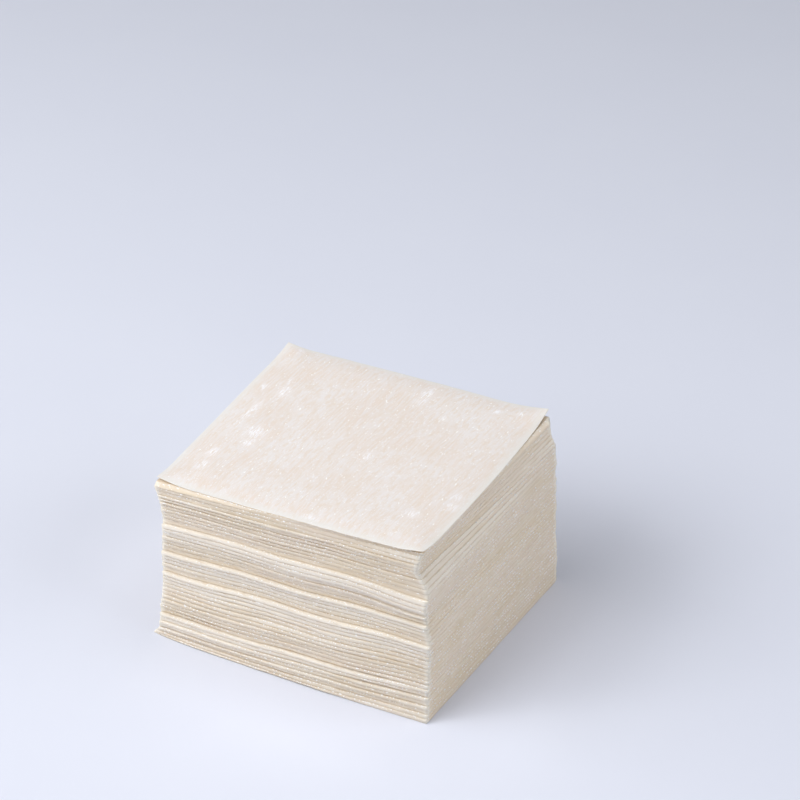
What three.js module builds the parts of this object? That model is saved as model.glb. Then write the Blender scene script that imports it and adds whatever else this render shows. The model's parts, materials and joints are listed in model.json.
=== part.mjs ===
// A stack of square-cut fresh wonton wrappers.
//
// Every wrapper is a thin sheet of rolled dough and a solid of its own. The sheets lie on each
// other with a film of starch between them. None lies quite square on the next: the stack was
// laid up in handfuls, so its front steps in and out. The upper sheets have slid to the left,
// the lower ones are spread to the front by the weight, and the left front corner has sagged.
// The top wrapper lies askew: its rim has dried thin, and its corners curl up.
//
// Millimetres, +Z up. X runs along a wrapper's long side and Y along its short side, from the
// front (-Y) to the back. The origin is on the table, under the centre of the stack's extent.

import * as THREE from "three";

// ---- Driving dimensions -------------------------------------------------------------------

const HEIGHT = 58.1; // of the stack, at its right front corner
const FRONT = -40.6; // the y of its front
const STARCH_FILM = 0.14; // left free between two sheets
const CELLS = { along: 10, across: 6 }; // the grid of a wrapper's triangles
const TOP_CELLS = { along: 14, across: 12 }; // the top wrapper curls, so its grid is finer
const DENSER_AT_EDGES = 0.25; // the grid's lines stand closer at the cut edges

// Where the stack's sides stand, as [rise, millimetres] pairs. Rise is the height above the
// table as a share of the stack's height: 0 under the lowest wrapper and 1 on the top one.
const LEFT_X = [
  [0, -42.8], [0.1, -42.4], [0.2, -42.1], [0.3, -41.5], [0.55, -41.9], [0.72, -41.3], [0.85, -41.8],
  [1, -44.2],
];
const RIGHT_FRONT_X = [
  [0, 47.3], [0.3, 46.8], [0.4, 47.1], [0.5, 46.3], [0.6, 45.5], [0.68, 46], [0.73, 46.2],
  [0.77, 45.7], [0.85, 42.7], [0.94, 44], [1, 44.7],
];
const RIGHT_BACK_X = [
  [0, 47.3], [0.15, 47.6], [0.32, 46.7], [0.7, 45.9], [0.85, 45.3], [0.91, 44], [1, 43],
];
const BACK_Y = [[0, 41.4], [0.12, 40.6], [1, 40.7]];

// How far the lower sheets are spread to the front, at their left and right ends, and how far
// their front bulges in its middle, at the same kind of places.
const SPREAD_LEFT = [[0, 1.9], [0.22, 1.7], [0.3, 1], [0.46, 0]];
const SPREAD_RIGHT = [[0, 1.1], [0.03, 0.6], [0.16, 0.5], [0.22, 0]];
const BULGE = [[0, 0.9], [0.05, 1.2], [0.25, 1.2], [0.35, 0.7], [0.5, 0.2]];

// How far the sheets lie below those at the right front corner, at the same kind of places.
const LEFT_SAG = [[0, 0], [0.09, 2.5], [0.15, 3.1], [0.43, 3.9], [0.56, 3.5], [0.75, 3.2], [1, 5.5]];
const RIGHT_BACK_SAG = 1; // at the top, and less in proportion below
const LEFT_BACK_SAG = 2;

// Slow waves run through the sheets, front to back, and shift along as they rise.
const WAVE = { height: 0.3, length: 42, shift: 1.1, atBack: 0.3 };

// The right front corner droops, most at one rise, over a wedge of squeezed sheets.
const DROOP = { depth: 1.4, rise: 0.65, fadeAbove: 0.17, fadeBelow: 0.08, reach: 22 };

// The lowest wrappers' left front corner is drawn out to the left, and back a little.
const SPLAY = { left: 2.5, back: 0.9, rise: 0.06, reach: 14 };

// The handfuls, from the top down: how many sheets, and how far the first and the last of them
// stand proud of the front, at their left and right ends. The top wrapper is placed below.
const HANDFULS = [
  { sheets: 1, left: [0, 0], right: [0, 0] },
  { sheets: 2, left: [0.5, 0.2], right: [0.3, 0.8] },
  { sheets: 1, left: [-0.2, -0.2], right: [1.1, 1.1] },
  { sheets: 2, left: [0.3, 0], right: [1, 0.7] },
  { sheets: 2, left: [0.2, -0.1], right: [0.4, 0.1] },
  { sheets: 4, left: [0.1, -0.5], right: [0, -0.4] },
  { sheets: 3, left: [0.7, 0.3], right: [0.7, 1] },
  { sheets: 1, left: [0.4, 0.4], right: [-0.2, -0.2] },
  { sheets: 1, left: [-0.2, -0.2], right: [0.4, 0.4] },
  { sheets: 2, left: [-0.4, -0.7], right: [-0.3, -0.6] },
  { sheets: 1, left: [0.6, 0.6], right: [0.5, 0.5] },
  { sheets: 2, left: [0.1, -0.3], right: [0, -0.2] },
  { sheets: 2, left: [-0.2, -0.6], right: [-0.4, -0.6] },
  { sheets: 2, left: [0.6, 0.4], right: [0.5, 0.2] },
  { sheets: 6, left: [0.2, 0.1], right: [0.1, 0.1] },
  { sheets: 3, left: [-0.2, -0.7], right: [0, 0.1] },
  { sheets: 2, left: [0.4, 0.1], right: [0.3, 0] },
  { sheets: 2, left: [0.6, 0.2], right: [0.4, 0.1] },
  { sheets: 2, left: [0.6, 0.3], right: [0.5, 0.2] },
  { sheets: 2, left: [0.7, 0.9], right: [0.5, 0.6] },
];
const FOLLOWS_BACK = 0.5; // the back steps by this share of the front's
const SLIPS_RIGHT = 0.5; // a sheet's left end lies right by this share of how far it stands proud

// How unlike two wrappers of one handful are: each figure is the most either way.
const LOOSE = { x: 0.06, y: 0.06, bow: 0.1 };
const SEED = 4784;

// The top wrapper's corners, in plan, how far each has curled up off the stack, and how far in
// from the corner the curl starts.
const TOP = {
  leftFront: { x: -43.8, y: -38.9, lift: 1, reach: 10 },
  rightFront: { x: 45.3, y: -42, lift: 1, reach: 10 },
  rightBack: { x: 40.9, y: 43.9, lift: 1.6, reach: 16 },
  leftBack: { x: -47.7, y: 42.3, lift: 1, reach: 10 },
};
const TOP_BOW = { front: 0.85, right: 1, back: 0.5, left: 0 }; // how far its sides bow outwards
const THIN_RIM = { loss: 0.9, reach: 7 }; // how much thinner it is at its edge, and from how far in

// ---- Helpers ------------------------------------------------------------------------------

const { clamp, lerp, mapLinear, seededRandom, smoothstep } = THREE.MathUtils;

// The value of a [place, value] profile at a place, straight between its points.
function along(profile, place) {
  const next = profile.findIndex(([p]) => p > place);
  if (next === 0) return profile[0][1];
  if (next < 0) return profile.at(-1)[1];
  const [p0, v0] = profile[next - 1];
  const [p1, v1] = profile[next];
  return mapLinear(place, p0, p1, v0, v1);
}

// 1 at no distance, easing down to 0 at the reach and beyond.
function fade(distance, reach) {
  return 1 - smoothstep(distance, 0, reach);
}

// A value between four corners' values; u and v run from -0.5 to 0.5.
function blend(u, v, leftFront, rightFront, rightBack, leftBack) {
  const front = lerp(leftFront, rightFront, u + 0.5);
  const back = lerp(leftBack, rightBack, u + 0.5);
  return lerp(front, back, v + 0.5);
}

// A random value up to a limit either way, the same on every run.
function either(most) {
  return lerp(-most, most, seededRandom());
}

// ---- The lie of the stack -----------------------------------------------------------------

const REST_BOX = { left: -44, right: 44, front: FRONT, back: -FRONT };

// How high the surface that parts two sheets lies at a place, by its rise.
function lieOfStack(x, y, rise) {
  const u = clamp(mapLinear(x, REST_BOX.left, REST_BOX.right, -0.5, 0.5), -0.5, 0.5);
  const v = clamp(mapLinear(y, REST_BOX.front, REST_BOX.back, -0.5, 0.5), -0.5, 0.5);
  const sag = blend(u, v, along(LEFT_SAG, rise), 0, RIGHT_BACK_SAG * rise, LEFT_BACK_SAG * rise);

  const phase = x / WAVE.length + WAVE.shift * rise;
  const swell = 4 * rise * (1 - rise) * lerp(1, WAVE.atBack, v + 0.5);
  const wave = WAVE.height * swell * Math.sin(2 * Math.PI * phase);

  const toDroop = rise - DROOP.rise;
  const atRise = toDroop > 0 ? fade(toDroop, DROOP.fadeAbove) : fade(-toDroop, DROOP.fadeBelow);
  const toCorner = Math.hypot(x - REST_BOX.right, y - REST_BOX.front);
  const droop = DROOP.depth * atRise * fade(toCorner, DROOP.reach);

  return HEIGHT * rise - sag + wave - droop;
}

// How far the top wrapper has curled up off the stack, at a place.
function curl(x, y) {
  return Object.values(TOP).reduce((sum, corner) => {
    const near = clamp(1 - Math.hypot(x - corner.x, y - corner.y) / corner.reach, 0, 1);
    return sum + corner.lift * near * near;
  }, 0);
}

// How much of the top wrapper's thickness is missing at a place in it, from -0.5 to 0.5 each way.
function rimLoss(u, v) {
  const toSide = (0.5 - Math.abs(u)) * (REST_BOX.right - REST_BOX.left);
  const toEnd = (0.5 - Math.abs(v)) * (REST_BOX.back - REST_BOX.front);
  return THIN_RIM.loss * fade(Math.min(toSide, toEnd), THIN_RIM.reach);
}

// ---- Laying up the sheets -----------------------------------------------------------------

// Each wrapper's corners in plan and the bow of its sides, from the lowest to the top one.
function layUp() {
  seededRandom(SEED);
  const count = HANDFULS.reduce((sum, handful) => sum + handful.sheets, 0);
  const sheets = [];
  for (const handful of HANDFULS) {
    for (let i = 0; i < handful.sheets; i++) {
      const number = count - 1 - sheets.length;
      const rise = (number + 0.5) / count;
      const depth = handful.sheets > 1 ? i / (handful.sheets - 1) : 0;
      const proudLeft = lerp(...handful.left, depth) + either(LOOSE.y);
      const proudRight = lerp(...handful.right, depth) + either(LOOSE.y);
      const backY = along(BACK_Y, rise) + either(LOOSE.y);
      const frontLeftY = FRONT - proudLeft - along(SPREAD_LEFT, rise);
      const frontRightY = FRONT - proudRight - along(SPREAD_RIGHT, rise);
      const leftX = along(LEFT_X, rise) + SLIPS_RIGHT * proudLeft + either(LOOSE.x);
      const slipX = either(LOOSE.x);
      const [bowX, bowY] = [either(LOOSE.bow), either(LOOSE.bow)];
      sheets.unshift({
        number,
        isTop: number === count - 1,
        under: number / count,
        over: (number + 1) / count,
        bow: { front: bowY + along(BULGE, rise), right: bowX, back: bowY, left: bowX },
        splay: 1 - clamp(number / count / SPLAY.rise, 0, 1),
        leftFront: { x: leftX, y: frontLeftY },
        rightFront: { x: along(RIGHT_FRONT_X, rise) + slipX, y: frontRightY },
        rightBack: { x: along(RIGHT_BACK_X, rise) + slipX, y: backY - FOLLOWS_BACK * proudRight },
        leftBack: { x: leftX, y: backY - FOLLOWS_BACK * proudLeft },
      });
    }
  }
  Object.assign(sheets.at(-1), TOP, { bow: TOP_BOW });
  return sheets;
}

// Where a point of a wrapper lies in plan.
function planOf(sheet, u, v) {
  const corners = [sheet.leftFront, sheet.rightFront, sheet.rightBack, sheet.leftBack];
  const x = blend(u, v, ...corners.map((corner) => corner.x));
  const y = blend(u, v, ...corners.map((corner) => corner.y));
  const bowX = (1 - 4 * v * v) * lerp(-sheet.bow.left, sheet.bow.right, u + 0.5);
  const bowY = (1 - 4 * u * u) * lerp(-sheet.bow.front, sheet.bow.back, v + 0.5);
  const splay = sheet.splay * fade(Math.hypot(x - REST_BOX.left, y - REST_BOX.front), SPLAY.reach);
  return [x + bowX - splay * SPLAY.left, y + bowY + splay * SPLAY.back];
}

// The heights of a wrapper's under and upper face at a place.
function facesOf(sheet, x, y, u, v) {
  const under = sheet.number === 0 ? 0 : lieOfStack(x, y, sheet.under) + STARCH_FILM / 2;
  const over = lieOfStack(x, y, sheet.over) - STARCH_FILM / 2;
  if (!sheet.isTop) return [under, over];
  const lift = curl(x, y);
  return [under + lift, over + lift - rimLoss(u, v)];
}

// ---- One wrapper --------------------------------------------------------------------------

// Moves an even place in the grid, from -0.5 to 0.5, outwards to where its line stands.
function spread(t) {
  return t * (1 + DENSER_AT_EDGES * (1 - 4 * t * t));
}

// A closed sheet: the same grid of triangles on both faces, and a wall round the cut edge.
function wrapperGeometry(sheet) {
  const { along: columns, across: rows } = sheet.isTop ? TOP_CELLS : CELLS;
  const grid = new THREE.PlaneGeometry(1, 1, columns, rows);
  const flat = grid.attributes.position;
  const positions = new Float32Array(flat.count * 6);
  for (let i = 0; i < flat.count; i++) {
    const [u, v] = [spread(flat.getX(i)), spread(flat.getY(i))];
    const [x, y] = planOf(sheet, u, v);
    const [under, over] = facesOf(sheet, x, y, u, v);
    positions.set([x, y, over], 3 * i);
    positions.set([x, y, under], 3 * (flat.count + i));
  }

  const triangles = [];
  const corners = grid.index.array;
  for (let i = 0; i < corners.length; i += 3) {
    const [a, b, c] = corners.slice(i, i + 3);
    triangles.push(a, b, c, flat.count + c, flat.count + b, flat.count + a);
  }

  // Round the outline, anticlockwise from above: down the left, along the front, and back.
  const row = columns + 1;
  const outline = [];
  for (let i = 0; i < rows; i++) outline.push(i * row);
  for (let i = 0; i < columns; i++) outline.push(rows * row + i);
  for (let i = rows; i > 0; i--) outline.push(i * row + columns);
  for (let i = columns; i > 0; i--) outline.push(i);
  outline.forEach((here, i) => {
    const next = outline[(i + 1) % outline.length];
    triangles.push(here, flat.count + here, next);
    triangles.push(next, flat.count + here, flat.count + next);
  });

  const geometry = new THREE.BufferGeometry();
  geometry.setAttribute("position", new THREE.BufferAttribute(positions, 3));
  geometry.setIndex(triangles);
  geometry.computeVertexNormals();
  return geometry;
}

// Raw dough: cream and matt, and a little paler on the dry, floured top wrapper.
function dough(isTop) {
  return new THREE.MeshStandardMaterial({
    color: isTop ? 0xf0e8e0 : 0xe6d9c6,
    roughness: isTop ? 0.75 : 0.65,
    metalness: 0,
  });
}

function wrapper(sheet) {
  const mesh = new THREE.Mesh(wrapperGeometry(sheet), dough(sheet.isTop));
  mesh.name = "wrapper_" + String(sheet.number + 1).padStart(2, "0");
  return mesh;
}

// ---- The stack ----------------------------------------------------------------------------

const stack = new THREE.Group();
layUp().forEach((sheet) => stack.add(wrapper(sheet)));

const centre = new THREE.Box3().setFromObject(stack).getCenter(new THREE.Vector3());
stack.position.set(-centre.x, -centre.y, 0);

export default stack;
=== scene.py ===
# Looks of a stack of square-cut fresh wonton wrappers.
#
# Every wrapper is made anew from its own solid in the frame: the frame's few points become a
# smooth sheet of dough with a soft, uneven cut edge. Grains of dry starch lie on the sheets and
# in the grooves between them. Sizes are in millimetres unless a name says otherwise, and meshes
# are scaled to metres when they are made.

import json
import math
import bpy
import numpy as np
from mathutils import Matrix, Vector, noise

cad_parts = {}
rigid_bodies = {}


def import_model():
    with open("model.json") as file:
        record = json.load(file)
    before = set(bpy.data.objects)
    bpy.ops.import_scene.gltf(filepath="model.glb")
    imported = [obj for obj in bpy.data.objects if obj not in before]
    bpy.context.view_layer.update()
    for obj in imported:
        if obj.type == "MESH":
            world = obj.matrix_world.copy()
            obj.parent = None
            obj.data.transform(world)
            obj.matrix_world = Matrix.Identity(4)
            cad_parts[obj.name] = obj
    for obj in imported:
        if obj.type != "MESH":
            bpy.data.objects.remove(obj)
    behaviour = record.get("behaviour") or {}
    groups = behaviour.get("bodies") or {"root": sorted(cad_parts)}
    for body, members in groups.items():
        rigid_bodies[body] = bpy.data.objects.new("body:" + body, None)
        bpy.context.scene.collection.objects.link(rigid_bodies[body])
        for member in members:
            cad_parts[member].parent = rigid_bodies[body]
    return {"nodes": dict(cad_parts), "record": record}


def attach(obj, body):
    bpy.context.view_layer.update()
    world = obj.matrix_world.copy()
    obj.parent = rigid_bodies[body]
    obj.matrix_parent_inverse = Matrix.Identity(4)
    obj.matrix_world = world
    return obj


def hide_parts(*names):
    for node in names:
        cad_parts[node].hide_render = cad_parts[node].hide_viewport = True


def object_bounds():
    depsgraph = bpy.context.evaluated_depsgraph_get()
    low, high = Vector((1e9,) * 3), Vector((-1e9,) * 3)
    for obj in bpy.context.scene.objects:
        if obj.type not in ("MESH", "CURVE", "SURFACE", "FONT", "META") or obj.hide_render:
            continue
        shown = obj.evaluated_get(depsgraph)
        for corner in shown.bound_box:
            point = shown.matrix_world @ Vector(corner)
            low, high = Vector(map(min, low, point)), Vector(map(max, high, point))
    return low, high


for leftover in list(bpy.data.objects):
    bpy.data.objects.remove(leftover)
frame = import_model()
cad_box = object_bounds()

MM = 0.001
SEED = 52

# ---- Sizes --------------------------------------------------------------------------------

HALF_SHEET = np.array([44.0, 40.5])  # half a nominal wrapper, along X and Y
FRAME_ROWS = {77: 7, 195: 13}  # rows of the frame's grid on a wrapper, by its number of points

# The grid of a wrapper: cells along X and Y, and how many cells of its rim stand for one of them.
PLAIN_GRID = {"cells": (26, 24), "finer": 4}
TOP_GRID = {"cells": (150, 138), "finer": 1}
INNER_INSET = 4.0  # the plain grid starts this far in from the cut edge
CORNER_RADIUS = 0.25

# The rings of points round a wrapper, from its upper face over the cut edge to its lower face:
# how far in from the edge, and how high in the thickness.
EDGE_RINGS = [
    (2.2, 1.0), (0.9, 1.0), (0.3, 0.99), (0.12, 0.95), (0.03, 0.85), (0.0, 0.68), (0.0, 0.46),
    (0.01, 0.28), (0.04, 0.14), (0.12, 0.04), (0.3, 0.01), (0.9, 0.0), (2.2, 0.0),
]
SHOULDER = 3  # the ring on which starch catches
MIDDLE = 6  # the ring that stands for the whole cut edge

# How uneven the sheets are, as wavelengths and depths. The first ripples in the outline are the
# blade's, which sheets near each other share, and the others are a sheet's own.
SHARED_RIPPLES = [((24.0, 24.0, 4.0), 0.24), ((7.0, 7.0, 2.5), 0.12)]
OWN_RIPPLES = [(12.0, 0.07), (3.0, 0.05), (1.1, 0.04)]
RIPPLE_REACH = 1.2  # how far in from the cut edge the ripples die out
RIM_INSET = 0.5  # the rings within this of the edge make its rounding
SIDE_ROUGHNESS = (0.3, 1.0)  # the short sides are cut cleaner than the long ones
LEAN = 0.14  # the most that the cut edge leans in, at its top or its foot

# How open the grooves between the sheets are, up to about 1, by how many sheets lie above them, and
# by the side: on the short sides they are pressed shut. At an open groove the cut edges are thinner
# than the sheets by a larger share, and the foot of the upper one draws in further.
OPENNESS = [
    (0, 0.0), (3, 0.05), (4, 0.6), (10, 0.6), (11, 0.2), (14, 0.2), (15, 0.4), (33, 0.4), (35, 1.1),
]
SIDE_OPENNESS = (0.1, 1.0)
OPEN_STEP = 14.0  # how long an open or shut place is along a side
OPEN_SPREAD = (0.5, 1.4)  # a groove is as open as its depth gives, times a share between these
SQUEEZE = (-0.11, 0.2)
DRAWN_IN = (0.0, 0.38)
PAIRED = {"from": 35, "shut": 0.15}  # from here down every second groove is nearly shut

# The cut edges slant to meet their neighbours', by this share of the way: nearly all of it on the
# short sides, which make one smooth face. On the long sides the share goes by how many sheets lie
# above, and so does how much sharper than usual the rims are: one value down to the first of the
# two sheets, and the other from the second.
JOINED_SHORT = 0.95
JOINED_LONG = [(3, 1.0), (4, 0.5)]
SHARP_SHORT = 0.7
SHARP_LONG = [(3, 0.6), (4, 0.0)]
UNDER_TOP = 1.6  # how much further the sheet under the top one reaches to meet it

# The slow wave in neighbouring sheets, which dies out this near the foot and top of the stack.
SWAY = {"height": 0.16, "length": (17.0, 17.0, 6.0), "clear": 5.0}

PROUD_BELOW = 0.7  # the sheet under one that stands proud takes its painted highlight and flour by this share
CORNER_REACH = 1.0  # this near a corner, a cut edge counts with both of its sides
FAINT = 1e-9  # the weight with which a side counts at least, so that no place is without any

# Grains of starch in the grooves: how far apart they lie, how long and thick they are, how high
# for their thickness, and how evenly they lie between the places where they are thick or thin.
GROOVE_GRAINS = {
    "apart": 0.9, "length": (0.35, 1.3), "thickness": (0.32, 0.66), "height": 0.8, "even": 0.6,
}
GRAIN_RINGS = [2, 3, 3, 3, 4]  # the rings round a cut edge where they lie
GRAIN_DRIFTS = (16.0, 16.0, 3.5)  # the size of the places where they lie thick or thin

# Grains on the top wrapper: how many, how long and thick, and how wide by their length and by
# their thickness. They lie clear of the rim, some loose and more of them in the smears. They have
# strayed by up to so many millimetres, and turned by about so many radians from the rolled way.
FACE_GRAINS = {
    "count": 1600, "length": (0.2, 1.5), "thickness": (0.03, 0.06), "width": (0.2, 2),
    "clear": 0.5, "loose": 0.03, "in_smears": 0.4, "strayed": 0.3, "turned": 0.3,
}
GRAIN_JITTER = 0.25  # how far the corners of a grain are off, as a share of its size

# Smears of flour on the top wrapper: the x and y of the middle, the width and the length.
SMEARS = [
    (-37.5, 3.0, 1.6, 9.0), (-30.0, -6.0, 4.5, 4.5), (-36.0, -21.0, 2.2, 3.5),
    (-35.0, -28.0, 2.2, 3.0), (-29.0, -12.0, 2.2, 3.0), (-34.0, 16.5, 2.5, 4.5),
    (-41.0, 17.0, 1.5, 2.5), (-35.0, 23.0, 1.5, 2.5), (-42.0, 40.0, 2.0, 2.5),
    (8.0, -39.0, 3.5, 1.4), (5.0, 34.0, 2.0, 7.0), (6.0, -4.0, 1.8, 3.0),
    (33.0, -26.0, 3.0, 2.2), (41.0, -17.0, 2.0, 3.0), (39.5, -12.0, 2.0, 2.4),
    (28.0, 36.0, 1.4, 1.6), (35.0, 38.0, 1.2, 1.6), (16.0, 25.0, 1.4, 1.8),
]


# ---- Reading the frame --------------------------------------------------------------------

def frame_grid(name):
    """A wrapper's frame points as rows and columns: x, y, and its lower and upper height."""
    points = np.array([vertex.co for vertex in frame["nodes"][name].data.vertices]) / MM
    places, at = np.unique(points[:, :2].round(3), axis=0, return_inverse=True)  # to a micron
    at = at.ravel()
    under = np.full(len(places), np.inf)
    over = np.full(len(places), -np.inf)
    np.minimum.at(under, at, points[:, 2])
    np.maximum.at(over, at, points[:, 2])
    rows = np.argsort(places[:, 1]).reshape(FRAME_ROWS[len(places)], -1)
    grid = np.array([row[np.argsort(places[row, 0])] for row in rows])
    return places[grid, 0], places[grid, 1], under[grid], over[grid]


def spline_weights(knots, places):
    """Weights that turn values at the knots into those of a smooth curve at the places."""
    count = len(knots)
    gaps = np.diff(knots)
    left, right = np.eye(count), np.zeros((count, count))
    for i in range(1, count - 1):
        before, after = gaps[i - 1], gaps[i]
        left[i, i - 1:i + 2] = before, 2 * (before + after), after
        right[i, i - 1:i + 2] = 6 / before, -6 / before - 6 / after, 6 / after
    bend = np.linalg.solve(left, right)
    k = np.clip(np.searchsorted(knots, places) - 1, 0, count - 2)
    t = ((places - knots[k]) / gaps[k])[:, None]
    sixth = (gaps[k] ** 2 / 6)[:, None]
    straight = (1 - t) * np.eye(count)[k] + t * np.eye(count)[k + 1]
    return straight + sixth * (((1 - t) ** 3 - (1 - t)) * bend[k] + (t ** 3 - t) * bend[k + 1])


def knots_of(values):
    """Where the frame's grid lines stand, from 0 to 1, along the first axis of the values."""
    line = values.mean(axis=1)
    return (line - line[0]) / (line[-1] - line[0])


# ---- One sheet's grid ---------------------------------------------------------------------

def ring(half, cells):
    """Points round a rectangle, anticlockwise from its lower left corner."""
    across, up = (np.linspace(-1, 1, count + 1)[:-1] for count in cells)
    level, side = np.ones_like(across), np.ones_like(up)
    x = np.concatenate([across, side, -across, -side])
    y = np.concatenate([-level, up, level, -up])
    return np.column_stack([x, y]) * half


def round_corners(plan, half, radius):
    """Draws the corners of a rectangle in to arcs, and what lies near them with them."""
    past = np.clip(np.abs(plan) - (half - radius), 0, None)
    drawn = past * np.sqrt(1 - past[:, ::-1] ** 2 / (2 * radius ** 2))
    return plan - np.sign(plan) * (past - drawn)


class SheetGrid:
    """The points of a sheet in plan, their place in its thickness, and its faces."""

    def __init__(self, cells, finer):
        self.rim_cells = [count * finer for count in cells]
        self.rim = 2 * sum(self.rim_cells)
        self.plan, self.level, self.inset = [], [], []
        for inset, level in EDGE_RINGS:
            self.add(ring(HALF_SHEET - inset, self.rim_cells), level, inset)
        self.quads, self.triangles = [], []
        for i in range(len(EDGE_RINGS) - 1):
            self.strip(i * self.rim, (i + 1) * self.rim)
        last = len(EDGE_RINGS) - 1
        self.fill(cells, finer, 0, level=1, upward=True)
        self.fill(cells, finer, last * self.rim, level=0, upward=False)
        self.plan = round_corners(np.vstack(self.plan), HALF_SHEET, CORNER_RADIUS)
        self.level = np.concatenate(self.level)
        self.inset = np.concatenate(self.inset)

    def add(self, plan, level, inset):
        """Takes in more points, and tells how many there were before."""
        start = sum(len(part) for part in self.plan)
        self.plan.append(plan)
        self.level.append(np.full(len(plan), float(level)))
        self.inset.append(np.broadcast_to(inset, len(plan)).astype(float))
        return start

    def strip(self, a, b):
        """Faces between a ring and the next one round the cut edge."""
        here = np.arange(self.rim)
        after = np.roll(here, -1)
        self.quads.append(np.column_stack([b + here, b + after, a + after, a + here]))

    def fill(self, cells, finer, rim_start, level, upward):
        """The flat grid inside the innermost ring, and the triangles that lead to it."""
        half = HALF_SHEET - INNER_INSET
        x, y = (np.linspace(-h, h, count + 1) for h, count in zip(half, cells))
        plan = np.array([(px, py) for py in y for px in x])
        inset = (HALF_SHEET - np.abs(plan)).min(axis=1)
        start = self.add(plan, level, inset)
        index = start + np.arange(len(plan)).reshape(len(y), len(x))
        a, b, c, d = index[:-1, :-1], index[:-1, 1:], index[1:, 1:], index[1:, :-1]
        quads = np.column_stack([part.ravel() for part in (a, b, c, d)])
        border = np.concatenate([index[0, :-1], index[:-1, -1], index[-1, :0:-1], index[:0:-1, 0]])
        triangles = []
        middle = (finer + 1) // 2
        for k, (near, far) in enumerate(zip(border, np.roll(border, -1))):
            fine = [rim_start + (k * finer + j) % self.rim for j in range(finer + 1)]
            for j in range(finer):
                triangles.append((fine[j], fine[j + 1], near if j < middle else far))
            triangles.append((fine[middle], far, near))
        triangles = np.array(triangles)
        self.quads.append(quads if upward else quads[:, ::-1])
        self.triangles.append(triangles if upward else triangles[:, ::-1])

    def faces(self):
        """All the faces, as lists of the numbers of their points."""
        quads, triangles = np.vstack(self.quads), np.vstack(self.triangles)
        return quads.tolist() + triangles.tolist()


# ---- Unevenness ---------------------------------------------------------------------------

def wave_at(points, size):
    """Smooth noise from -1 to 1 with bumps of these sizes along X, Y and Z."""
    return np.array([noise.noise(Vector(point)) for point in (points / size).tolist()])


def ripple(places, length, rng):
    """A smooth random value from 0 to 1 at the places, with bumps about as long as length."""
    span = 2 * HALF_SHEET.max() + 4 * length
    knots = rng.random(int(span / length) + 4)
    at = (places + span / 2) / length
    k = np.clip(at.astype(int), 0, len(knots) - 2)
    t = at - k
    t = t * t * (3 - 2 * t)
    return knots[k] * (1 - t) + knots[k + 1] * t


def between(limits, share):
    """The value that lies this share of the way from the first limit to the second."""
    low, high = limits
    return low + (high - low) * share


def sides(plan):
    """How near each point is to each side, 1 on it and fading inwards, with its place along it."""
    for axis, sign in ((0, -1), (0, 1), (1, -1), (1, 1)):
        distance = HALF_SHEET[axis] - sign * plan[:, axis]
        yield axis, sign, np.exp(-np.clip(distance, 0, None) / RIPPLE_REACH), plan[:, 1 - axis]


def open_at(groove, plan):
    """How open a groove is near each point, by how many sheets lie above it."""
    rng = np.random.default_rng([SEED, groove, len(plan)])
    widest = np.interp(groove, *np.transpose(OPENNESS)) * rng.uniform(*OPEN_SPREAD)
    if groove > PAIRED["from"] and (groove - PAIRED["from"]) % 2 == 1:
        widest *= PAIRED["shut"]
    total = np.zeros(len(plan))
    weight = np.full(len(plan), FAINT)
    for axis, _sign, near, place in sides(plan):
        total += near * widest * SIDE_OPENNESS[axis] * ripple(place, OPEN_STEP, rng)
        weight += near
    return total / weight


def shape_edge(plan, level, inset, height, openness, sharp, rng):
    """Ripples in the four sides, and their cut edges drawn in, squeezed and leant unevenly."""
    points = np.column_stack([plan, np.full(len(plan), height)])
    shared = sum(depth * wave_at(points, size) for size, depth in SHARED_RIPPLES)
    rough = plan.copy()
    drawn = between(DRAWN_IN, openness) * (1 - level) ** 2
    rounding = np.where(inset < RIM_INSET, inset, 0)
    for axis, sign, near, place in sides(plan):
        own = sum(depth * (2 * ripple(place, length, rng) - 1) for length, depth in OWN_RIPPLES)
        lean = LEAN * (2 * ripple(place, OWN_RIPPLES[0][0], rng) - 1)
        leant = np.clip(lean, 0, None) * level - np.clip(lean, None, 0) * (1 - level)
        wavy = SIDE_ROUGHNESS[axis] * (shared + own + leant)
        rough[:, axis] -= sign * near * (wavy + drawn - sharp[axis] * rounding)
    fading = np.exp(-inset / RIPPLE_REACH)
    return rough, 0.5 + (level - 0.5) * (1 - fading * between(SQUEEZE, openness))


def sway(points, top):
    """A slow wave that neighbouring sheets share, none at the foot and the top of the stack."""
    clear = np.clip(np.minimum(points[:, 2], top - points[:, 2]) / SWAY["clear"], 0, 1)
    return SWAY["height"] * wave_at(points, SWAY["length"]) * clear


# ---- The wrappers -------------------------------------------------------------------------

def openness_of(grid, depth):
    """How open the nearer groove is at each point of a wrapper under this many others."""
    return np.where(grid.level > 0.5, open_at(depth, grid.plan), open_at(depth + 1, grid.plan))


def sheet_points(name, grid, depth):
    """The places of a wrapper's points, in millimetres. Depth is how many sheets lie on it."""
    rng = np.random.default_rng([SEED, depth])
    x, y, under, over = frame_grid(name)
    openness = openness_of(grid, depth)
    sharp = (SHARP_SHORT, np.interp(depth, *np.transpose(SHARP_LONG)))
    plan, level = shape_edge(grid.plan, grid.level, grid.inset, under.mean(), openness, sharp, rng)
    share = (plan / HALF_SHEET + 1) / 2
    along_x = spline_weights(knots_of(x.T), share[:, 0])
    along_y = spline_weights(knots_of(y), share[:, 1])

    def smooth(values):
        return np.einsum("pr,rc,pc->p", along_y, values, along_x)

    low, high = smooth(under), smooth(over)
    points = np.column_stack([smooth(x), smooth(y), low + level * (high - low)])
    if depth > 0:
        points[:, 2] += sway(points, cad_box[1].z / MM)
    return points


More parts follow.
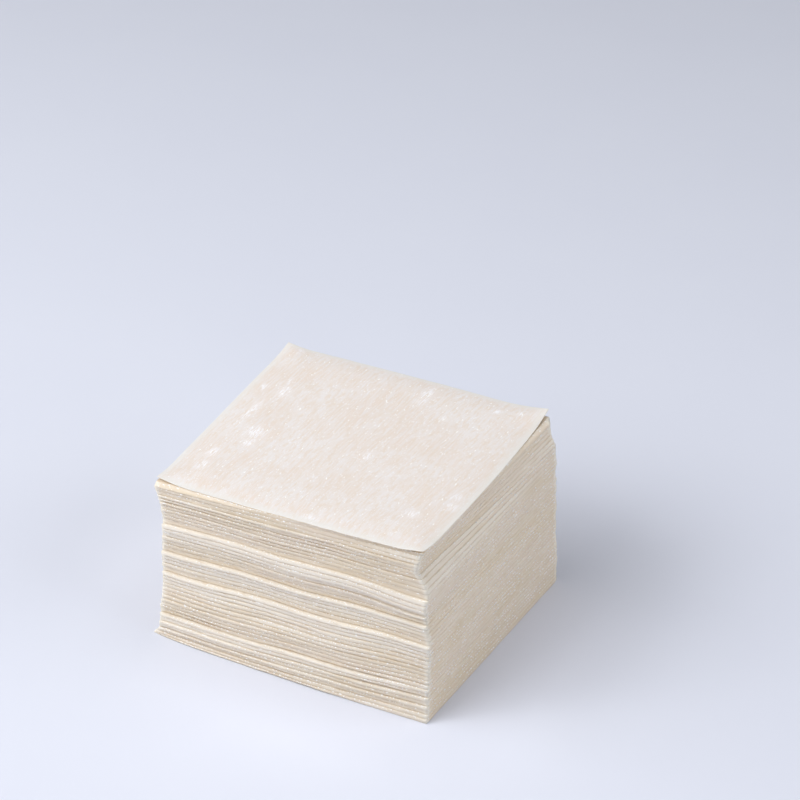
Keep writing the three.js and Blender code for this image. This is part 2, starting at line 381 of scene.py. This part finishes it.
def make_mesh(name, points, faces):
    """A mesh from points in millimetres, kept inside the frame's box."""
    low, high = (np.array(corner) / MM for corner in cad_box)
    mesh = bpy.data.meshes.new(name)
    mesh.from_pydata((np.clip(points, low, high) * MM).tolist(), [], faces)
    mesh.update()
    piece = bpy.data.objects.new(name, mesh)
    bpy.context.scene.collection.objects.link(piece)
    return piece


def add_values(piece, name, values):
    """Gives a mesh's points a number each, for its material."""
    attribute = piece.data.attributes.new(name, "FLOAT", "POINT")
    attribute.data.foreach_set("value", np.asarray(values, np.float32))


def rings_of(points, grid):
    """The points round a wrapper's cut edge, ring by ring."""
    return points[:len(EDGE_RINGS) * grid.rim].reshape(len(EDGE_RINGS), grid.rim, 3)


def resampled(rim, cells, wanted):
    """Points round one grid's cut edge, at the places of another grid's."""
    def places(counts):
        sides_of = [side + np.arange(count) / count for side, count in enumerate((*counts, *counts))]
        return np.concatenate(sides_of)

    return np.column_stack([np.interp(places(wanted), places(cells), axis, period=4)
                            for axis in rim.T])


def join_cut_edges(sheets, grid, top_rim):
    """Slants the cut edges of sheets that lie on each other towards their neighbours'."""
    count = len(EDGE_RINGS) * grid.rim
    plan, level = grid.plan[:count], grid.level[:count]
    middles = np.array([rings_of(points, grid)[MIDDLE] for points in sheets])
    for number, points in enumerate(sheets):
        above = middles[number - 1] - middles[number]
        if number == 0:
            above = UNDER_TOP * (top_rim - middles[0])
        below = middles[min(number + 1, len(sheets) - 1)] - middles[number]
        rounds = [above if height > 0.5 else below for _inset, height in EDGE_RINGS]
        slant = np.abs(level - 0.5)[:, None] * np.vstack(rounds)
        joined = (JOINED_SHORT, np.interp(number + 1, *np.transpose(JOINED_LONG)))
        for axis, _sign, near, _place in sides(plan):
            points[:count, axis] += joined[axis] * near * slant[:, axis]


def proudness(sheets, grid):
    """How far each sheet's cut edge stands out from the one on it, or lies below such a one."""
    plan = grid.plan[MIDDLE * grid.rim:(MIDDLE + 1) * grid.rim]
    outwards = np.sign(plan) * (np.abs(plan) > HALF_SHEET - CORNER_REACH)
    proud = [np.zeros(grid.rim)]
    for above, here in zip(sheets, sheets[1:]):
        step = rings_of(here, grid)[MIDDLE] - rings_of(above, grid)[MIDDLE]
        own = (step[:, :2] * outwards).sum(axis=1) / np.abs(outwards).sum(axis=1)
        proud.append(np.maximum(own, PROUD_BELOW * proud[-1]))
    return proud


def cornering(plan):
    """How near each point is to a corner, 1 on it and fading along the sides."""
    return np.exp(-np.clip(HALF_SHEET - np.abs(plan), 0, None).sum(axis=1) / RIPPLE_REACH)


def wrapper(name, depth, grid, points, proud, material):
    """A wrapper in place of its solid, with the values that its material needs."""
    piece = make_mesh("dough_" + name, points, grid.faces())
    piece.data.shade_smooth()
    rest = np.zeros(len(points) - len(EDGE_RINGS) * grid.rim)
    add_values(piece, "proud", np.concatenate([np.tile(proud, len(EDGE_RINGS)), rest]))
    add_values(piece, "open", openness_of(grid, depth))
    add_values(piece, "corner", cornering(grid.plan))
    add_values(piece, "from_edge", grid.inset)
    add_values(piece, "level", grid.level)
    add_values(piece, "flour", flour_at(points) if depth == 0 else np.zeros(len(points)))
    piece.data.materials.append(material)
    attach(piece, "root")
    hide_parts(name)


# ---- Starch -------------------------------------------------------------------------------

def unit_grain():
    """The points and faces of a crumb with eight sides, one long, wide and high."""
    points = np.array([(1, 0, 0), (0, 1, 0), (-1, 0, 0), (0, -1, 0), (0, 0, 1), (0, 0, -1)]) / 2
    around = [(k, (k + 1) % 4) for k in range(4)]
    return points, np.array([(a, b, 4) for a, b in around] + [(b, a, 5) for a, b in around])


def grains(places, along, up, sizes, rng):
    """Points and faces of grains at the places, each as long, wide and thick as its sizes."""
    crumb, faces = unit_grain()
    along = along / np.linalg.norm(along, axis=1)[:, None]
    across = np.cross(up, along)
    across /= np.linalg.norm(across, axis=1)[:, None]
    up = np.cross(along, across)
    uneven = 1 + GRAIN_JITTER * (2 * rng.random((len(places), len(crumb), 1)) - 1)
    shape = crumb[None] * uneven * sizes[:, None]
    axes = np.stack([along, across, up], axis=1)
    points = places[:, None] + np.einsum("gpk,gkx->gpx", shape, axes)
    first = len(crumb) * np.arange(len(places))
    return points.reshape(-1, 3), (faces[None] + first[:, None, None]).reshape(-1, 3)


def within(limits, count, rng):
    """Random sizes between two limits, most of them small."""
    return between(limits, rng.random(count) ** 3)


def flour_at(points):
    """How thickly flour lies at places on the top wrapper, from 0 to 1."""
    thick = np.zeros(len(points))
    for x, y, width, length in SMEARS:
        away = np.hypot((points[:, 0] - x) / (width / 2), (points[:, 1] - y) / (length / 2))
        thick = np.maximum(thick, np.exp(-away ** 2 / 2))
    return thick


def groove_grains(points, grid, rng):
    """Dashes and crumbs of starch along a wrapper's cut edge, most of them in its groove."""
    rings = rings_of(points, grid)
    shoulder = rings[SHOULDER]
    length = np.linalg.norm(np.roll(shoulder, -1, axis=0) - shoulder, axis=1).sum()
    count = int(length / GROOVE_GRAINS["apart"])
    at = (np.arange(count) + rng.random(count)) / count * grid.rim
    k = at.astype(int)
    here = rings[rng.choice(GRAIN_RINGS, count)]
    start, end = (here[np.arange(count), index % grid.rim] for index in (k, k + 1))
    places = start + (at - k)[:, None] * (end - start)
    even = GROOVE_GRAINS["even"]
    kept = wave_at(places, GRAIN_DRIFTS) > rng.uniform(-even, even, count)
    count = int(kept.sum())
    thick = within(GROOVE_GRAINS["thickness"], count, rng)
    long = np.maximum(within(GROOVE_GRAINS["length"], count, rng), thick)
    sizes = np.column_stack([long, thick, GROOVE_GRAINS["height"] * thick])
    up = np.tile((0.0, 0.0, 1.0), (count, 1))
    return grains(places[kept], (end - start)[kept], up, sizes, rng)


def face_grains(points, grid, rng):
    """Flat grains on the top wrapper, mostly drawn out along Y as the dough was rolled."""
    upper = np.flatnonzero((grid.level == 1) & (grid.inset > FACE_GRAINS["clear"]))
    count, strayed = FACE_GRAINS["count"], FACE_GRAINS["strayed"]
    chance = FACE_GRAINS["loose"] + FACE_GRAINS["in_smears"] * flour_at(points[upper]) ** 2
    places = points[rng.choice(upper, count, p=chance / chance.sum())]
    places[:, :2] += rng.uniform(-strayed, strayed, (count, 2))
    long = within(FACE_GRAINS["length"], count, rng)
    thick = within(FACE_GRAINS["thickness"], count, rng)
    by_length, by_thickness = FACE_GRAINS["width"]
    sizes = np.column_stack([long, by_length * long + by_thickness * thick, thick])
    turned = rng.normal(0, FACE_GRAINS["turned"], count)
    along = np.column_stack([turned, np.ones(count), np.zeros(count)])
    up = np.tile((0.0, 0.0, 1.0), (count, 1))
    return grains(places, along, up, sizes, rng)


def starch(name, parts, material):
    """One piece of many grains, from lists of points and faces."""
    starts = np.cumsum([0] + [len(points) for points, _faces in parts[:-1]])
    points = np.vstack([part[0] for part in parts])
    faces = np.vstack([part[1] + start for part, start in zip(parts, starts)])
    piece = make_mesh(name, points, faces.tolist())
    piece.data.materials.append(material)
    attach(piece, "root")


# ---- Materials ----------------------------------------------------------------------------

def rgb(red, green, blue):
    """A colour from its screen values, 0 to 255."""
    def linear(value):
        share = value / 255
        return share / 12.92 if share <= 0.04045 else ((share + 0.055) / 1.055) ** 2.4
    return (linear(red), linear(green), linear(blue), 1.0)


# Of the dough colours, groove is painted warm shade, the colour for proud edges is a painted
# highlight mixed with flour, and corner is a painted glow of the thin tips.
DOUGH_COLOURS = {
    "tan": rgb(223, 208, 185), "beige": rgb(226, 212, 195), "cream": rgb(229, 217, 200),
    "groove": rgb(208, 178, 132), "painted_highlight_and_flour": rgb(239, 232, 221), "floury": rgb(233, 226, 215),
    "corner": rgb(240, 234, 222), "fibre": rgb(209, 188, 160), "dash": rgb(247, 246, 245),
}
# The colour for the thin edge is partly dried dough and partly painted light; the one under the rim
# is painted warm shade.
TOP_COLOURS = {
    "warm": rgb(225, 213, 204), "cool": rgb(228, 222, 219), "mottle": rgb(223, 211, 200),
    "dust": rgb(229, 226, 227), "speck": rgb(238, 238, 242), "flour": rgb(246, 246, 252),
    "dried": rgb(226, 225, 222), "painted_rim_shade": rgb(232, 208, 166),
}
STARCH_COLOURS = [rgb(253, 252, 252), rgb(248, 247, 247)]
FLOOR_COLOURS = [rgb(218, 222, 236), rgb(221, 225, 238)]


class Nodes:
    """A material's node tree, with one short call for each kind of node."""

    def __init__(self, name):
        self.material = bpy.data.materials.new(name)
        self.material.use_nodes = True
        self.tree = self.material.node_tree
        self.shader = self.tree.nodes["Principled BSDF"]
        self.place = self.tree.nodes.new("ShaderNodeTexCoord").outputs["Object"]

    def new(self, kind, **settings):
        """Adds a node of this kind."""
        made = self.tree.nodes.new("ShaderNode" + kind)
        for key, value in settings.items():
            setattr(made, key, value)
        return made

    def link(self, value, socket):
        """Feeds a socket with a fixed value or with another node's output."""
        if isinstance(value, bpy.types.NodeSocket):
            self.tree.links.new(value, socket)
        else:
            socket.default_value = value

    def noise(self, size, detail=3.0, roughness=0.55, seed=0.0):
        """Noise from 0 to 1 whose bumps have these sizes in millimetres along X, Y and Z."""
        mapping = self.new("Mapping")
        mapping.inputs["Scale"].default_value = [1 / (s * MM) for s in size]
        mapping.inputs["Location"].default_value = (seed, seed, seed)
        self.link(self.place, mapping.inputs["Vector"])
        made = self.new("TexNoise")
        made.inputs["Scale"].default_value = 1.0
        made.inputs["Detail"].default_value = detail
        made.inputs["Roughness"].default_value = roughness
        self.link(mapping.outputs["Vector"], made.inputs["Vector"])
        return made.outputs["Fac"]

    def fit(self, value, low, high, to_low=0.0, to_high=1.0):
        """Moves a range of a value to another range, and holds it there."""
        made = self.new("MapRange", interpolation_type="SMOOTHSTEP")
        for key, number in zip(("From Min", "From Max", "To Min", "To Max"),
                               (low, high, to_low, to_high)):
            made.inputs[key].default_value = number
        self.link(value, made.inputs["Value"])
        return made.outputs["Result"]

    def math(self, operation, a, b):
        """A sum, product or the like of two values."""
        made = self.new("Math", operation=operation)
        self.link(a, made.inputs[0])
        self.link(b, made.inputs[1])
        return made.outputs["Value"]

    def mix(self, amount, a, b):
        """A colour between two colours."""
        made = self.new("Mix", data_type="RGBA")
        self.link(amount, made.inputs["Factor"])
        self.link(a, made.inputs["A"])
        self.link(b, made.inputs["B"])
        return made.outputs["Result"]

    def value(self, name):
        """The number that a mesh's points hold under this name."""
        made = self.new("Attribute", attribute_name=name)
        return made.outputs["Fac"]

    def bump(self, height, strength, distance):
        """Fine relief, as high as the distance in millimetres."""
        made = self.new("Bump")
        made.inputs["Strength"].default_value = strength
        made.inputs["Distance"].default_value = distance * MM
        self.link(height, made.inputs["Height"])
        self.link(made.outputs["Normal"], self.shader.inputs["Normal"])

    def finish(self, **sockets):
        """Sets the shader's sockets and gives the material."""
        for name, value in sockets.items():
            self.link(value, self.shader.inputs[name.replace("_", " ")])
        return self.material


def dough_material():
    """The cut edges and hidden faces: cream dough, floury above, and painted warm shade in the
    grooves.
    """
    n = Nodes("dough")
    colours = DOUGH_COLOURS
    tone = n.mix(n.fit(n.noise((45, 45, 7), detail=2, seed=13), 0.38, 0.62), colours["tan"],
                 colours["beige"])
    cream = n.mix(n.fit(n.noise((9, 9, 2.5)), 0.35, 0.65, 0.0, 0.5), tone, colours["cream"])
    # Painted shade: a warm tint towards the foot of each cut edge where the groove under it is open,
    # for the warm shade in the grooves.
    foot = n.fit(n.value("level"), 0.0, 0.42, 1.0, 0.0)
    patchy = n.fit(n.noise((14, 14, 1.6), seed=11), 0.35, 0.65, 0.35, 1.0)
    groove = n.math("MULTIPLY", foot, n.fit(n.value("open"), 0.0, 0.6, 0.3, 1.0))
    warm = n.mix(n.math("MULTIPLY", groove, patchy), cream, colours["groove"])
    # Painted highlight mixed with flour: whiter on cut edges that stand proud of the sheet above,
    # all but their foot.
    proud = n.fit(n.value("proud"), 0.12, 0.7)
    wall = n.math("MULTIPLY", n.fit(n.value("level"), 0.0, 0.4), proud)
    painted_highlight_and_flour = n.mix(n.math("MULTIPLY", wall, 0.75), warm, colours["painted_highlight_and_flour"])
    shoulder = n.fit(n.value("level"), 0.6, 0.95)
    floury = n.fit(n.noise((10, 10, 1.8), detail=4, seed=5), 0.36, 0.62, 0.0, 0.6)
    pale = n.mix(n.math("MULTIPLY", shoulder, floury), painted_highlight_and_flour, colours["floury"])
    # Painted light: whiter near the corners, where the thin tips look lit through.
    painted_corner_glow = n.mix(n.fit(n.value("corner"), 0.1, 0.6, 0.0, 0.8), pale, colours["corner"])
    fibres = n.mix(n.fit(n.noise((5, 5, 0.28), detail=4, seed=9), 0.5, 0.72, 0.0, 0.4), painted_corner_glow,
                   colours["fibre"])
    dashes = n.fit(n.noise((0.9, 0.9, 0.26), detail=2, seed=3), 0.62, 0.66)
    patches = n.fit(n.noise((12, 12, 4), seed=7), 0.4, 0.62, 0.1, 0.9)
    colour = n.mix(n.math("MULTIPLY", dashes, patches), fibres, colours["dash"])
    n.bump(n.noise((0.7, 0.7, 0.4), detail=5), 0.4, 0.12)
    n.shader.subsurface_method = "RANDOM_WALK"
    return n.finish(Base_Color=colour, Roughness=0.62, Subsurface_Weight=0.15,
                    Subsurface_Radius=(1.0, 0.95, 0.85), Subsurface_Scale=0.3 * MM,
                    Specular_IOR_Level=0.3)


def top_dough_material():
    """The top wrapper: paler, streaked along Y and dusted; whiter at its thin edges, partly as
    painted light; painted shade under its rim.
    """
    n = Nodes("top_dough")
    colours = TOP_COLOURS
    blotches = n.fit(n.noise((12, 17, 9), detail=3), 0.36, 0.64)
    base = n.mix(blotches, colours["warm"], colours["cool"])
    mottled = n.mix(n.fit(n.noise((1.0, 2.8, 1.0), detail=5, seed=8), 0.4, 0.62, 0.0, 0.85), base,
                    colours["mottle"])
    streaks = n.fit(n.noise((0.5, 7.0, 0.5), detail=4, seed=2), 0.4, 0.66)
    dusted = n.mix(n.math("MULTIPLY", streaks, 0.6), mottled, colours["dust"])
    specks = n.fit(n.noise((0.35, 1.1, 0.35), detail=2, seed=5), 0.63, 0.67)
    specked = n.mix(n.math("MULTIPLY", specks, 0.8), dusted, colours["speck"])
    crumbled = n.fit(n.noise((0.3, 3.6, 0.3), detail=4, seed=6), 0.46, 0.57, 0.05, 1.0)
    smeared = n.mix(n.math("MULTIPLY", n.value("flour"), crumbled), specked, colours["flour"])
    # Paler near the cut edge: partly dried dough, partly painted light where the thin edge looks lit
    # through.
    dried = n.fit(n.value("from_edge"), 0.3, 3.2, 0.7, 0.0)
    pale = n.mix(dried, smeared, colours["dried"])
    # Painted warm shade on the lower part of the top wrapper's cut edge and lower face, where it
    # hangs over the sheet below.
    painted_rim_shade = n.fit(n.value("level"), 0.1, 0.8, 0.9, 0.0)
    colour = n.mix(painted_rim_shade, pale, colours["painted_rim_shade"])
    n.bump(n.noise((0.6, 1.2, 0.6), detail=5), 0.25, 0.1)
    n.shader.subsurface_method = "RANDOM_WALK"
    return n.finish(Base_Color=colour, Roughness=0.7, Subsurface_Weight=0.25,
                    Subsurface_Radius=(1.0, 0.93, 0.82), Subsurface_Scale=0.5 * MM,
                    Specular_IOR_Level=0.25)


def starch_material():
    """Dry starch: nearly white, matt and powdery."""
    n = Nodes("starch")
    colour = n.mix(n.noise((0.3, 0.3, 0.3)), *STARCH_COLOURS)
    n.bump(n.noise((0.08, 0.08, 0.08)), 0.3, 0.02)
    return n.finish(Base_Color=colour, Roughness=0.8, Subsurface_Weight=0.1,
                    Subsurface_Radius=(1.0, 1.0, 1.0), Subsurface_Scale=0.2 * MM,
                    Specular_IOR_Level=0.3)


# ---- The stack ----------------------------------------------------------------------------

slots = {part["node"]: part["material_slot"] for part in frame["record"]["subparts"]}
names = sorted(frame["nodes"])
materials = {"dough": dough_material(), "top_dough": top_dough_material()}
plain_grid, top_grid = SheetGrid(**PLAIN_GRID), SheetGrid(**TOP_GRID)
top_name, *plain_names = reversed(names)
top_points = sheet_points(top_name, top_grid, depth=0)
sheets = [sheet_points(name, plain_grid, depth) for depth, name in enumerate(plain_names, 1)]
proud = proudness(sheets, plain_grid)
top_rim = rings_of(top_points, top_grid)[MIDDLE]
top_rim = resampled(top_rim, top_grid.rim_cells, plain_grid.rim_cells)
join_cut_edges(sheets, plain_grid, top_rim)

top_slot = slots[top_name]
wrapper(top_name, 0, top_grid, top_points, np.zeros(top_grid.rim), materials[top_slot])
for depth, (name, points) in enumerate(zip(plain_names, sheets), 1):
    slot = slots[name]
    wrapper(name, depth, plain_grid, points, proud[depth - 1], materials[slot])

starch_rng = np.random.default_rng(SEED)
groove_starch = [groove_grains(points, plain_grid, starch_rng) for points in sheets]
starch("starch_in_grooves", groove_starch, starch_material())
starch("starch_on_top", [face_grains(top_points, top_grid, starch_rng)], starch_material())

# ---- Studio -------------------------------------------------------------------------------

FLOOR_SIZE = 6.0  # metres
LIGHTS = {  # watts, and metres: the side of the square, and how far right, near and up it is
    "key": {"power": 11.0, "size": 0.9, "at": (-0.9, 0.5, 0.9)},
    "side": {"power": 6.5, "size": 0.9, "at": (-1.0, 0.0, 0.8)},
    "reflector": {"power": 9.3, "size": 1.2, "at": (1.2, 0.4, 0.6)},
    "overhead": {"power": 8.5, "size": 1.2, "at": (0.0, 0.0, 1.4)},
}

# The camera's turn in degrees, and its distance in millimetres from the place that it looks at,
# which is this far right of the middle of the stack and above the floor.
CAMERA = {"azimuth": 28.47, "elevation": 30.80, "roll": 0.72, "distance": 865.3}
LOOKS_AT = {"right": 12.85, "up": 71.42}
FOCAL_LENGTH = 135.0
SENSOR = 36.0  # the width that goes with the focal length


def camera_axes():
    """The camera's right, up and forward directions before its roll."""
    a, e = (math.radians(CAMERA[key]) for key in ("azimuth", "elevation"))
    right = Vector((math.cos(a), math.sin(a), 0))
    forward = Vector((-math.sin(a) * math.cos(e), math.cos(a) * math.cos(e), -math.sin(e)))
    return right, right.cross(forward), forward


def add_camera():
    """A long lens, from the right of the front and above."""
    right, up, forward = camera_axes()
    target = right * LOOKS_AT["right"] + Vector((0, 0, LOOKS_AT["up"]))
    data = bpy.data.cameras.new("camera")
    data.lens, data.sensor_width = FOCAL_LENGTH, SENSOR
    camera = bpy.data.objects.new("camera", data)
    roll = math.radians(CAMERA["roll"])
    rolled = (right * math.cos(roll) + up * math.sin(roll),
              up * math.cos(roll) - right * math.sin(roll), -forward)
    turned = Matrix(rolled).transposed().to_4x4()
    camera.matrix_world = Matrix.Translation((target - forward * CAMERA["distance"]) * MM) @ turned
    bpy.context.scene.collection.objects.link(camera)
    bpy.context.scene.camera = camera


def add_light(name, power, size, at):
    """A square soft light, placed in metres by how far right, near and up it is."""
    right, _up, forward = camera_axes()
    near = Vector((-forward.x, -forward.y, 0)).normalized()
    place = right * at[0] + near * at[1] + Vector((0, 0, at[2]))
    data = bpy.data.lights.new(name, "AREA")
    data.shape, data.size, data.energy = "SQUARE", size, power
    light = bpy.data.objects.new(name, data)
    light.location = place
    light.rotation_euler = (-place).to_track_quat("-Z", "Y").to_euler()
    bpy.context.scene.collection.objects.link(light)


def add_floor():
    """A plain, pale, bluish floor."""
    n = Nodes("floor")
    colour = n.mix(n.noise((60, 60, 60), detail=2), *FLOOR_COLOURS)
    material = n.finish(Base_Color=colour, Roughness=0.6, Specular_IOR_Level=0.2)
    half = FLOOR_SIZE / 2
    mesh = bpy.data.meshes.new("floor")
    corners = [(-half, -half, 0), (half, -half, 0), (half, half, 0), (-half, half, 0)]
    mesh.from_pydata(corners, [], [(0, 1, 2, 3)])
    mesh.materials.append(material)
    floor = bpy.data.objects.new("floor", mesh)
    bpy.context.scene.collection.objects.link(floor)


def add_world():
    """Surroundings that give no light of their own."""
    world = bpy.data.worlds.new("studio")
    world.use_nodes = True
    world.node_tree.nodes["Background"].inputs["Strength"].default_value = 0.0
    bpy.context.scene.world = world


add_camera()
for name, settings in LIGHTS.items():
    add_light(name, **settings)
add_floor()
add_world()
bpy.context.scene.view_settings.view_transform = "Standard"
